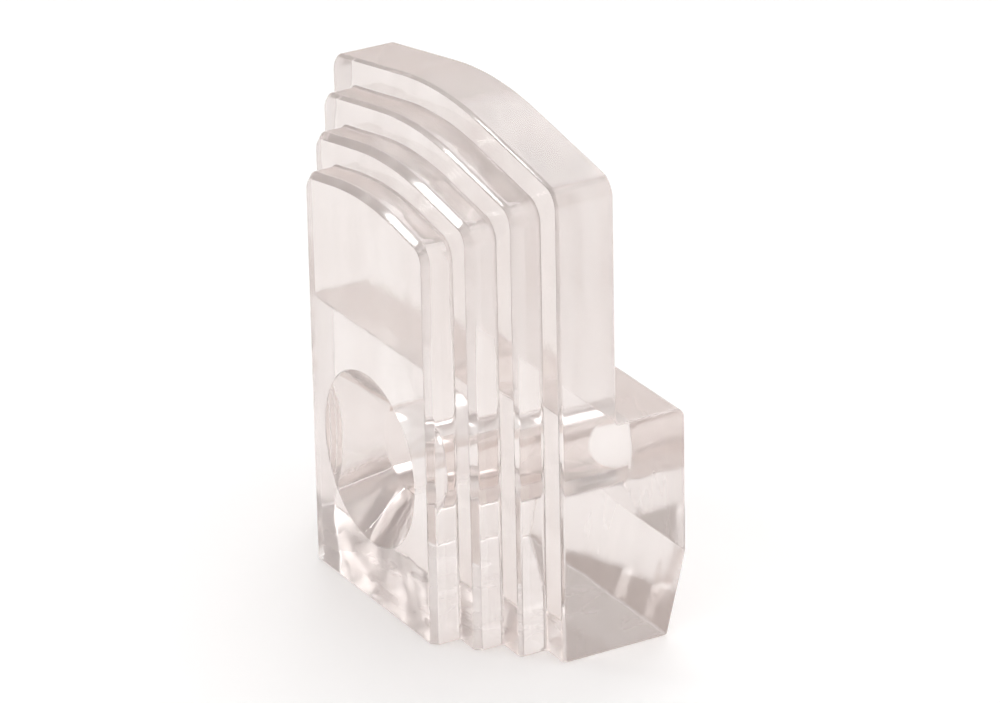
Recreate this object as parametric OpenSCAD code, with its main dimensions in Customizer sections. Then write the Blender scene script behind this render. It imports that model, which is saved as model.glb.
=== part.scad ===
// Mirror clip: one clear moulding that holds the edge of a frameless mirror against a wall.
// The face plate laps over the glass. The block behind it is as deep as the glass is thick,
// rests on the wall and carries the mirror's edge on its top. Tiers step forward from the
// plate, each set in from the one behind it, under gabled tops with a rounded ridge.
// Frame: +X across the clip, +Y to the wall, +Z up. The origin is where the screw's axis
// meets the wall.

/* [Face plate] */
// Width across the plate, which is the widest tier
plate_w = 20; // [18:0.5:26]
// Height of the plate's sides, from the foot to where the gable would start
side_h = 22.4; // [20:0.2:30]
// Thickness of the plate
plate_t = 2.85; // [2:0.05:4]
// Slope of each side of the gable, in degrees
gable_angle = 10; // [6:0.5:16]
// Radius of the ridge of the plate's gable
ridge_r = 20; // [10:0.5:20]
// Radius of the corners between the gable and the sides
corner_r = 1; // [0.8:0.1:1.5]
// Width of the bevel along the front edges of the plate and the tiers
bevel = 0.3; // [0.1:0.05:0.4]

/* [Tiers] */
// Number of tiers in front of the plate
tier_count = 3; // [1:1:3]
// Distance that each tier's sides are set in from those behind them
side_inset = 1.5; // [1:0.1:1.8]
// Distance that each tier's top is set in from the one behind it
top_inset = 1.35; // [1:0.05:1.8]
// Distance that each tier stands in front of the one behind it
tier_depth = 1.35; // [0.8:0.05:1.8]

/* [Block] */
// Thickness of the mirror that the clip is made for
mirror_t = 3.2; // [3:0.1:6.4]
// Room for the mirror between the plate and the wall, beyond its thickness
mirror_clearance = 0.3; // [0.1:0.05:0.6]
// Height of the ledge under the mirror's edge, from the foot
ledge_h = 10.9; // [9.8:0.1:13]
// Radius of the ledge's rear edge
ledge_r = 0.5; // [0.2:0.05:0.8]
// Distance that the lower rear edge is cut back from the wall
relief_d = 1; // [0.2:0.1:1.5]
// Height of the cut at the lower rear edge
relief_h = 3.9; // [1:0.1:4.4]

/* [Screw hole] */
// Diameter of the screw's shank hole
shank_d = 4.2; // [3.5:0.1:5]
// Diameter of the countersink at the front face
head_d = 8.2; // [7:0.1:8.6]
// Full angle of the countersink, in degrees
head_angle = 90; // [82:1:100]
// Height of the screw's axis above the foot
hole_h = 7.05; // [6.6:0.05:8]

/* [Hidden] */
$fn = 96;
// How far a cut or a joined solid runs past the face that it meets
overlap = 0.5;
block_d = mirror_t + mirror_clearance;
front_d = plate_t + tier_count * tier_depth;
// How far an arc stands past the flats that it joins, so that the two cross at a clear angle
crossing = 0.015;
// Height above the foot of the one centre that the ridge arcs of all the tiers share
ridge_z = side_h + plate_w / 2 * tan(gable_angle) - ridge_r / cos(gable_angle);

// Tiers are drawn flat, with the foot along X, the top towards +Y and the front up.
// Step 0 is the plate itself, and each later step is one tier further forward.
function tier_front(step) = plate_t + step * tier_depth;
function half_w(step) = plate_w / 2 - step * side_inset;
function ridge_radius(step) = ridge_r - step * top_inset;
// Height of the gable's flat over the point x, when it passes at the given distance from
// the ridge's centre.
function gable_y(distance, x) = ridge_z + (distance - x * sin(gable_angle)) / cos(gable_angle);

// Sharp outline of one tier, which the roundings then cut.
module outline(step) {
    w = half_w(step);
    flat = ridge_radius(step) - crossing;
    polygon([[-w, 0], [w, 0], [w, gable_y(flat, w)], [0, gable_y(flat, 0)], [-w, gable_y(flat, w)]]);
}

// Section of what a bevel takes off an edge at [width, depth].
module bevel_section(width, depth)
    translate([width, depth]) polygon([[-bevel - overlap, overlap], [overlap, -bevel - overlap],
        [overlap, overlap]]);

// Bevel along +Y from the origin, with the outside towards +X.
module bevel_run(length, width, depth)
    translate([0, length, 0]) rotate([90, 0, 0]) linear_extrude(length)
        bevel_section(width, depth);

// All outside an arc of the given radius about the origin, bevelled at its front edge, from
// the direction start through the angle sweep.
module rounding(radius, depth, start, sweep) {
    cone = bevel + crossing / 2;
    outside = radius + 2 * overlap;
    rotate([0, 0, start]) rotate_extrude(angle = sweep)
        polygon([[radius, -overlap], [radius, depth - cone], [radius - cone - overlap, depth + overlap],
            [outside, depth + overlap], [outside, -overlap]]);
}

module tier(step) {
    depth = tier_front(step);
    radius = ridge_radius(step);
    w = half_w(step);
    corner_x = w + crossing - corner_r;
    difference() {
        linear_extrude(depth) outline(step);
        translate([0, ridge_z, 0]) rounding(radius, depth, 90 - gable_angle, 2 * gable_angle);
        for (side = [0, 1]) mirror([side, 0, 0]) {
            translate([0, -overlap, 0]) bevel_run(side_h + 2 * overlap, w, depth);
            translate([0, ridge_z, 0]) rotate([0, 0, -gable_angle])
                rotate([0, 0, 90]) translate([0, -plate_w, 0])
                    bevel_run(plate_w + radius * tan(gable_angle), radius - crossing, depth);
            translate([corner_x, gable_y(radius - corner_r, corner_x), 0])
                rounding(corner_r, depth, 0, 90 - gable_angle);
        }
    }
}

// Side section of the block: X runs from the plate's rear face to the wall, Y is height.
module block_section() {
    polygon([[-overlap, 0], [block_d - relief_d, 0], [block_d, relief_h],
        [block_d, ledge_h - ledge_r], [block_d - ledge_r, ledge_h], [-overlap, ledge_h]]);
    translate([block_d - ledge_r, ledge_h - ledge_r]) circle(r = ledge_r);
}

module block()
    rotate([90, 0, 90]) linear_extrude(plate_w, center = true) block_section();

// Countersunk hole, drawn upright with the front face's centre at the origin.
module screw_hole() {
    cone_d = (head_d - shank_d) / 2 / tan(head_angle / 2);
    mouth_d = head_d + 2 * overlap * tan(head_angle / 2);
    translate([0, 0, -front_d - block_d - overlap])
        cylinder(d = shank_d, h = front_d + block_d + 2 * overlap);
    translate([0, 0, -cone_d]) cylinder(d1 = shank_d, d2 = mouth_d, h = cone_d + overlap);
}

module clip()
    color([0.92, 0.89, 0.87, 0.5]) translate([0, -block_d, 0]) difference() {
        translate([0, 0, -hole_h]) {
            for (step = [0:tier_count]) rotate([90, 0, 0]) tier(step);
            block();
        }
        translate([0, -front_d, 0]) rotate([90, 0, 0]) screw_hole();
    }

clip();
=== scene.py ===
import bpy, bmesh, math
from mathutils import Vector, Matrix


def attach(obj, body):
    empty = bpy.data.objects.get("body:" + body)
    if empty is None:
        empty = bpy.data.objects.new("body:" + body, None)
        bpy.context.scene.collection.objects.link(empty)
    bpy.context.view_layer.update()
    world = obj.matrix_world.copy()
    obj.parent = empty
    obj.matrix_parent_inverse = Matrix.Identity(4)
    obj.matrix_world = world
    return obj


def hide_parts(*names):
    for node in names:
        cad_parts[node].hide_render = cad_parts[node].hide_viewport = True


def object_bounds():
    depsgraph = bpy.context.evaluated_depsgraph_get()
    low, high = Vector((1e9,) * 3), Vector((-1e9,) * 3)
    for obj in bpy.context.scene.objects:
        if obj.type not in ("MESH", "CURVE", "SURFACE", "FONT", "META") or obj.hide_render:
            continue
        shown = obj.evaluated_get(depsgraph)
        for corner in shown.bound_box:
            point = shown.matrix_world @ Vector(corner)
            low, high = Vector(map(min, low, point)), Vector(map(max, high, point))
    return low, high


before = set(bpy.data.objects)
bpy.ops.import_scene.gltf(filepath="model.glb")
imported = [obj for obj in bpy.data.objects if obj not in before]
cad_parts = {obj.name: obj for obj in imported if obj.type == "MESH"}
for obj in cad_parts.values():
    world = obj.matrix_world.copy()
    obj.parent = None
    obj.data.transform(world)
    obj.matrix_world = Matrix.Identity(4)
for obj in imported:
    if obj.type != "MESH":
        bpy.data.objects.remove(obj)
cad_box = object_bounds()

MM = 0.001


# ---------------------------------------------------------------- node helpers
class Nodes:
    """Short calls for a material's or world's node tree."""

    def __init__(self, tree):
        self.t = tree
        tree.nodes.clear()

    def add(self, kind, ins=None, **props):
        n = self.t.nodes.new(kind)
        for k, v in props.items():
            setattr(n, k, v)
        for k, v in (ins or {}).items():
            if isinstance(v, bpy.types.NodeSocket):
                self.t.links.new(v, n.inputs[k])
            else:
                n.inputs[k].default_value = v
        return n

    def math(self, op, a, b):
        return self.add("ShaderNodeMath", {0: a, 1: b}, operation=op).outputs[0]

    def ramp(self, value, lo, hi, a=0.0, b=1.0):
        return self.add("ShaderNodeMapRange", {"Value": value, "From Min": lo, "From Max": hi,
                                               "To Min": a, "To Max": b}).outputs["Result"]


# ---------------------------------------------------------------- acrylic
def acrylic():
    m = bpy.data.materials.new("clear_acrylic")
    m.use_nodes = True
    g = Nodes(m.node_tree)
    place = g.add("ShaderNodeTexCoord").outputs["Object"]

    def noise(scale, detail=2.0, rough=0.5, stretch=(1, 1, 1)):
        v = g.add("ShaderNodeMapping", {"Vector": place, "Scale": stretch}).outputs[0]
        return g.add("ShaderNodeTexNoise", {"Vector": v, "Scale": scale, "Detail": detail,
                                            "Roughness": rough}).outputs["Fac"]

    # cloudiness left by the melt as it flowed up the mould
    cloud = noise(260, 3.0, 0.55, (1, 1, 0.45))
    tint = g.add("ShaderNodeMix", {0: g.ramp(cloud, 0.35, 0.65), 6: (0.86, 0.80, 0.778, 1),
                                   7: (0.92, 0.876, 0.857, 1)}, data_type="RGBA").outputs[2]
    # the thin plate is hazier than the thick block under it
    z = g.add("ShaderNodeSeparateXYZ", {0: place}).outputs["Z"]

    def by_height(block, plate):
        return g.ramp(z, -2 * MM, 7 * MM, block, plate)

    clear = g.math("SUBTRACT", g.ramp(cloud, 0.3, 0.7, 0.92, 1.0), by_height(0.05, 0.18))
    rough = g.math("ADD", g.ramp(noise(700, 4.0), 0.3, 0.7, 0.0, 0.05), by_height(0.04, 0.08))
    # shallow waves of the moulded faces, with a fine ripple on them
    waves, ripple = noise(330, 1.0, 0.4, (1, 1, 0.4)), noise(1500, 2.0)
    height = g.math("ADD", waves, g.math("MULTIPLY", ripple, 0.08))
    bump = g.add("ShaderNodeBump", {"Height": height, "Strength": 1.0, "Distance": 0.05 * MM})
    b = g.add("ShaderNodeBsdfPrincipled", {
        "Base Color": tint, "Roughness": rough, "IOR": 1.49, "Transmission Weight": clear,
        "Normal": bump.outputs[0]})
    # shadow rays pass straight through with a tint, so that the floor under the clip is lit
    lit = g.add("ShaderNodeBsdfTransparent", {"Color": (0.80, 0.755, 0.735, 1)})
    shadow = g.add("ShaderNodeLightPath").outputs["Is Shadow Ray"]
    mix = g.add("ShaderNodeMixShader", {0: shadow, 1: b.outputs[0], 2: lit.outputs[0]})
    g.add("ShaderNodeOutputMaterial", {"Surface": mix.outputs[0]})
    return m


# ---------------------------------------------------------------- the moulding
# The CAD part's sizes, in millimetres, except that the plate and the rear tier have a narrower
# front bevel here. Every edge also has the small rounding that a mould leaves.
HALF_W, SIDE_H, PLATE_T = 10.0, 22.4, 2.85
TIERS, INSET, TOP_INSET, DEPTH = 3, 1.5, 1.35, 1.35
GABLE, RIDGE_R, CORNER_R = math.radians(10), 20.0, 1.0
PLATE_REAR, LEDGE, FOOT = -3.5, 10.9, -7.05     # along Y, above the foot, along Z
RELIEF_D, RELIEF_H, LEDGE_R = 1.0, 3.9, 0.5
SHANK_R, HEAD_R, CONE_D = 2.1, 4.1, 2.0
RIDGE_Z = SIDE_H + HALF_W * math.tan(GABLE) - RIDGE_R / math.cos(GABLE)
FRONT_BEVEL = (0.13, 0.17, 0.3, 0.3)            # front edges of the plate and of each tier
FRONT_R = 0.12                                  # both edges of a front bevel
ROOT_R, EDGE_R = 0.14, 0.11                     # inside corners, all other edges
THROAT_R, RELIEF_R = 0.2, 0.25                  # inner end of the countersink, top of the relief
# How the mesh is divided
ARC_STEPS, ROUND_STEPS, HOLE_STEPS = 12, 5, 96
STRIP = 0.6                                     # height of the lowest strip of each outline
RIM = 0.9                                       # inset of the last ring, on the front face
PANEL = 4.0                                     # half width of the panel round the hole's rear end
SHARP = math.radians(30)                        # an edge that bends more is rounded at the end


def rounded(points, radii, steps):
    """A polyline with an arc of each radius at its inner points."""
    out = [points[0]]
    for i, r in enumerate(radii, 1):
        p = Vector(points[i])
        a, b = (Vector(points[i - 1]) - p).normalized(), (Vector(points[i + 1]) - p).normalized()
        half = a.angle(b) / 2
        middle = p + (a + b).normalized() * (r / math.sin(half))
        start, end = p + a * (r / math.tan(half)) - middle, p + b * (r / math.tan(half)) - middle
        sweep = math.pi - 2 * half
        turn = 1 if start.x * end.y - start.y * end.x > 0 else -1
        for k in range(steps + 1):
            t = turn * sweep * k / steps
            out.append((middle.x + start.x * math.cos(t) - start.y * math.sin(t),
                        middle.y + start.x * math.sin(t) + start.y * math.cos(t)))
    return out + [points[-1]]


def outline(step, inset):
    """A tier's outline as (x, z), from its foot on the right over the gable to that on the left."""
    w = HALF_W - step * INSET
    cx = w - CORNER_R
    ridge = RIDGE_R - step * TOP_INSET
    cz = RIDGE_Z + (ridge - CORNER_R - cx * math.sin(GABLE)) / math.cos(GABLE)
    right = [(w - inset, 0.0), (w - inset, STRIP)]
    for x, z, r, start, sweep in ((cx, cz, CORNER_R - inset, 0.0, math.pi / 2 - GABLE),
                                  (0.0, RIDGE_Z, ridge - inset, math.pi / 2 - GABLE, GABLE)):
        for k in range(ARC_STEPS + 1):
            a = start + sweep * k / ARC_STEPS
            right.append((x + r * math.cos(a), z + r * math.sin(a)))
    right[-1] = (0.0, right[-1][1])
    return right + [(-x, z) for x, z in reversed(right[:-1])]


def moulding():
    bm = bmesh.new()

    def vert(x, y, z):
        return bm.verts.new((x * MM, y * MM, (z + FOOT) * MM))

    def strip(a, b):
        for i in range(len(a) - 1):
            bm.faces.new((a[i], a[i + 1], b[i + 1], b[i]))

    # front shell: rings from the plate's rear face to the face round the countersink, each with
    # its inset from the tier's outline, its depth and its tier. The points at -1 and 1 only give
    # the roundings next to them their direction.
    profile = []
    for s in range(TIERS + 1):
        front = PLATE_T + s * DEPTH
        base = 0.0 if s == 0 else PLATE_T + (s - 1) * DEPTH
        bevel = FRONT_BEVEL[s]
        path = [(0.0, base), (0.0, front - bevel), (bevel, front), (1.0, front)]
        if s:
            path.insert(0, (-1.0, base))
            pts = rounded(path, [ROOT_R, FRONT_R, FRONT_R], ROUND_STEPS)[1:-1]
        else:
            pts = rounded(path, [FRONT_R, FRONT_R], ROUND_STEPS)[:-1]
        profile += [(inset, depth, s) for inset, depth in pts]
    profile.append((RIM, PLATE_T + TIERS * DEPTH, TIERS))
    rings = [[vert(x, PLATE_REAR - depth, z) for x, z in outline(s, inset)]
             for inset, depth, s in profile]
    # the plate's own side, below its corners, is part of the flat sides made further down
    below = 2
    strip(rings[0][below:-below], rings[1][below:-below])
    for a, b in zip(rings[1:-1], rings[2:]):
        strip(a, b)
    for v in rings[0][:below] + rings[0][-below:]:
        bm.verts.remove(v)
    rear_ring = rings[0][below:-below]

    # countersunk hole, from the front face to the wall
    front_y = PLATE_REAR - PLATE_T - TIERS * DEPTH
    hole = rounded([(HEAD_R + 0.5, front_y), (HEAD_R, front_y), (SHANK_R, front_y + CONE_D),
                    (SHANK_R, 0.0), (SHANK_R + 0.5, 0.0)],
                   [EDGE_R, THROAT_R, EDGE_R], ROUND_STEPS)[1:-1]
    turns = [2 * math.pi * k / HOLE_STEPS for k in range(HOLE_STEPS)]
    rounds = [[vert(r * math.cos(t), y, r * math.sin(t) - FOOT) for t in turns] for r, y in hole]
    for a, b in zip(rounds[:-1], rounds[1:]):
        strip(a + a[:1], b + b[:1])

    def fill(loops):
        edges = []
        for loop in loops:
            for i in range(len(loop)):
                pair = (loop[i], loop[(i + 1) % len(loop)])
                edges.append(bm.edges.get(pair) or bm.edges.new(pair))
        bmesh.ops.triangle_fill(bm, use_beauty=True, edges=edges)

    # front face: a strip above the foot, and the rest round the hole
    face = rings[-1]
    bm.faces.new((face[0], face[1], face[-2], face[-1]))
    fill([face[1:-1], rounds[0]])

    # rear section as (y, z), from the foot's rear edge up to the plate's rear face
    section = rounded([(-RELIEF_D, 0.0), (0.0, RELIEF_H), (0.0, LEDGE), (PLATE_REAR, LEDGE),
                       (PLATE_REAR, LEDGE + 2)], [RELIEF_R, LEDGE_R, ROOT_R], 8)[:-1]
    r, l = ([vert(x, y, z) for y, z in section] for x in (HALF_W, -HALF_W))
    # the wall face is the one span with the hole in it
    wall = max(range(len(section) - 1), key=lambda i: section[i + 1][1] - section[i][1])
    low = [vert(x, 0.0, section[wall][1]) for x in (PANEL, -PANEL)]
    high = [vert(x, 0.0, section[wall + 1][1]) for x in (PANEL, -PANEL)]
    bm.faces.new((r[wall], low[0], high[0], r[wall + 1]))
    bm.faces.new((low[1], l[wall], l[wall + 1], high[1]))
    fill([[low[0], low[1], high[1], high[0]], rounds[-1]])
    for i in range(len(section) - 1):
        if i == wall:
            continue
        lower = [r[i], l[i]] if i != wall + 1 else [r[i], high[0], high[1], l[i]]
        upper = [r[i + 1], l[i + 1]] if i != wall - 1 else [r[i + 1], low[0], low[1], l[i + 1]]
        bm.faces.new(lower + upper[::-1])

    # flat sides, rear face of the plate, and foot
    bm.faces.new([rings[1][0], rings[1][1], rings[1][2], rear_ring[0]] + r[::-1])
    bm.faces.new([rings[1][-1], rings[1][-2], rings[1][-3], rear_ring[-1]] + l[::-1])
    bm.faces.new([r[-1]] + rear_ring + [l[-1]])
    feet = [ring[0] for ring in rings[1:]] + [ring[-1] for ring in reversed(rings[1:])]
    bm.faces.new(feet + [l[0], r[0]])
    bmesh.ops.recalc_face_normals(bm, faces=bm.faces)

    # every edge that is still sharp gets its small rounding
    sharp = [e for e in bm.edges if len(e.link_faces) == 2 and e.calc_face_angle() > SHARP]
    bmesh.ops.bevel(bm, geom=sharp, offset=EDGE_R * MM, offset_type="OFFSET", segments=4,
                    profile=0.5, affect="EDGES", clamp_overlap=False)
    mesh = bpy.data.meshes.new("clip_moulding")
    bm.to_mesh(mesh)
    bm.free()
    mesh.polygons.foreach_set("use_smooth", [True] * len(mesh.polygons))
    o = bpy.data.objects.new("clip_moulding", mesh)
    bpy.context.collection.objects.link(o)
    return o


clip = moulding()
smooth = clip.modifiers.new("normals", "WEIGHTED_NORMAL")
smooth.weight = 100
smooth.keep_sharp = False
clip.data.materials.append(acrylic())
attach(clip, "root")
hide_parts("clip")

# ---------------------------------------------------------------- stage
# the floor lies just under the foot, so that the two faces don't touch
foot = cad_box[0][2]
bpy.ops.mesh.primitive_plane_add(size=2.0, location=(0, 0, foot - 0.03 * MM))
floor = bpy.context.object
floor.name = "floor"
pale = bpy.data.materials.new("floor")
pale.use_nodes = True
pale_inputs = pale.node_tree.nodes["Principled BSDF"].inputs
pale_inputs["Base Color"].default_value = (0.97, 0.97, 0.97, 1)
pale_inputs["Roughness"].default_value = 0.8
floor.data.materials.append(pale)

world = bpy.data.worlds.new("world")
bpy.context.scene.world = world
world.use_nodes = True
sky = Nodes(world.node_tree)
direction = sky.add("ShaderNodeTexCoord").outputs["Generated"]


def lobe(way, inner, outer, amount):
    """amount within inner degrees of a direction, fading to 0 at outer degrees."""
    d = sky.add("ShaderNodeVectorMath", {0: direction, 1: tuple(Vector(way).normalized())},
                operation="DOT_PRODUCT").outputs["Value"]
    r = sky.add("ShaderNodeMapRange", {"Value": d, "From Min": math.cos(math.radians(outer)),
                                       "From Max": math.cos(math.radians(inner)),
                                       "To Min": 0.0, "To Max": amount},
                interpolation_type="SMOOTHSTEP")
    return r.outputs["Result"]


# a white studio, bright overhead and a little duller and warmer towards the horizon
height = sky.add("ShaderNodeSeparateXYZ", {0: direction}).outputs["Z"]
fade = sky.add("ShaderNodeValToRGB", {0: height})
cr = fade.color_ramp
cr.interpolation = "EASE"
cr.elements[0].position, cr.elements[0].color = 0.0, (0.74, 0.66, 0.625, 1)
cr.elements[1].position, cr.elements[1].color = 0.6, (1.0, 1.0, 1.0, 1)
# a dark, warm corner at the front left
corner = lobe((-0.80, -0.47, 0.38), 12, 42, 0.62)
room = sky.add("ShaderNodeMix", {0: corner, 6: fade.outputs["Color"], 7: (0.11, 0.055, 0.035, 1)},
               data_type="RGBA").outputs[2]
# a brighter patch high behind on the left
patch = lobe((-0.50, 0.44, 0.745), 8, 23, 2.2)
grey = sky.add("ShaderNodeCombineXYZ", {0: patch, 1: patch, 2: patch}).outputs[0]
room = sky.add("ShaderNodeMix", {0: 1.0, 6: room, 7: grey},
               data_type="RGBA", blend_type="ADD").outputs[2]
bg = sky.add("ShaderNodeBackground", {"Color": room, "Strength": 1.0})
sky.add("ShaderNodeOutputWorld", {"Surface": bg.outputs[0]})

# a small lamp high at the front left, which the gables' front bevels mirror to the camera
lamp_place, lamp_aim = Vector((-0.1875, -0.166, 0.179)), Vector((0, -0.006, 0.008))
light = bpy.data.lights.new("edges", "AREA")
light.shape = "RECTANGLE"
light.size = light.size_y = 0.032
light.energy = 0.075
lamp = bpy.data.objects.new("edges", light)
lamp.location = lamp_place
lamp.rotation_euler = (lamp_aim - lamp_place).to_track_quat("-Z", "Y").to_euler()
bpy.context.collection.objects.link(lamp)

# ---------------------------------------------------------------- camera
AZ, EL, ROLL = (math.radians(a) for a in (60.395, 23.682, -1.156))
TARGET = Vector((0, -3.5, 4.95)) * MM
DIST = 278.951 * MM
LENS = 224.24
PHOTO = (1000, 703)                 # the photo's size in pixels
AXIS = (501.109, 323.772)           # the pixel that the camera's axis goes through
back = Vector((math.sin(AZ) * math.cos(EL), -math.cos(AZ) * math.cos(EL), math.sin(EL)))
right = Vector((math.cos(AZ), math.sin(AZ), 0))
up = back.cross(right)
x = math.cos(ROLL) * right + math.sin(ROLL) * up
y = -math.sin(ROLL) * right + math.cos(ROLL) * up
cam_data = bpy.data.cameras.new("camera")
cam = bpy.data.objects.new("camera", cam_data)
bpy.context.collection.objects.link(cam)
cam.matrix_world = Matrix((
    (x.x, y.x, back.x, TARGET.x + back.x * DIST),
    (x.y, y.y, back.y, TARGET.y + back.y * DIST),
    (x.z, y.z, back.z, TARGET.z + back.z * DIST),
    (0, 0, 0, 1)))
cam_data.sensor_width = 36
cam_data.lens = LENS
cam_data.shift_x = (PHOTO[0] / 2 - AXIS[0]) / PHOTO[0]
cam_data.shift_y = (AXIS[1] - PHOTO[1] / 2) / PHOTO[0]
cam_data.clip_start = 0.01
cam_data.clip_end = 10
bpy.context.scene.camera = cam
bpy.context.scene.view_settings.view_transform = "Standard"
# light is followed through the clear block until it gets out
bpy.context.scene.cycles.max_bounces = 32
bpy.context.scene.cycles.glossy_bounces = 24
bpy.context.scene.cycles.transmission_bounces = 24
